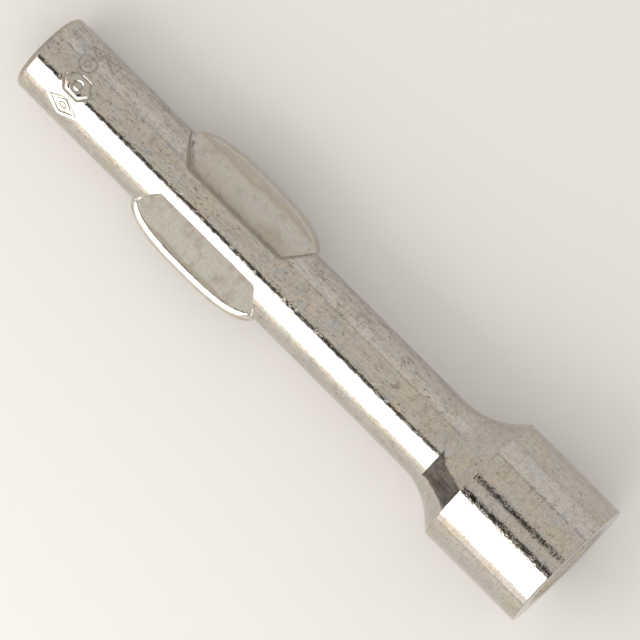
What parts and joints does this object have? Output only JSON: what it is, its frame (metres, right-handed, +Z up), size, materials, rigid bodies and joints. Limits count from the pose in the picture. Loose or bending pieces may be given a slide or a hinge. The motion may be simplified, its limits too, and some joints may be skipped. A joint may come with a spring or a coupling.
{
  "type": "fire hydrant wrench",
  "caption": "Solid bar hydrant wrench with opposite pinched ears as its grip and a flared head holding a deep five-sided socket.",
  "frame": {"origin": "bottom centre of the tool's box, the tool lying along X with its axis level", "axes": "+X along the bar towards the socket's mouth, the ears point along +Y and -Y, +Z is up"},
  "size_m": [0.3078, 0.0636, 0.0635],
  "materials": {
    "plated_bar": "zinc plate with a clear, faintly iridescent passivate over forged and machined steel",
    "plated_weld": "weld metal ground flush and zinc plated",
    "plated_head": "zinc plate with a clear, faintly iridescent passivate over turned steel"
  },
  "bodies": {
    "root": {"shank_with_ears": "plated_bar", "joint_weld": "plated_weld", "socket_head": "plated_head"}
  },
  "joints": []
}
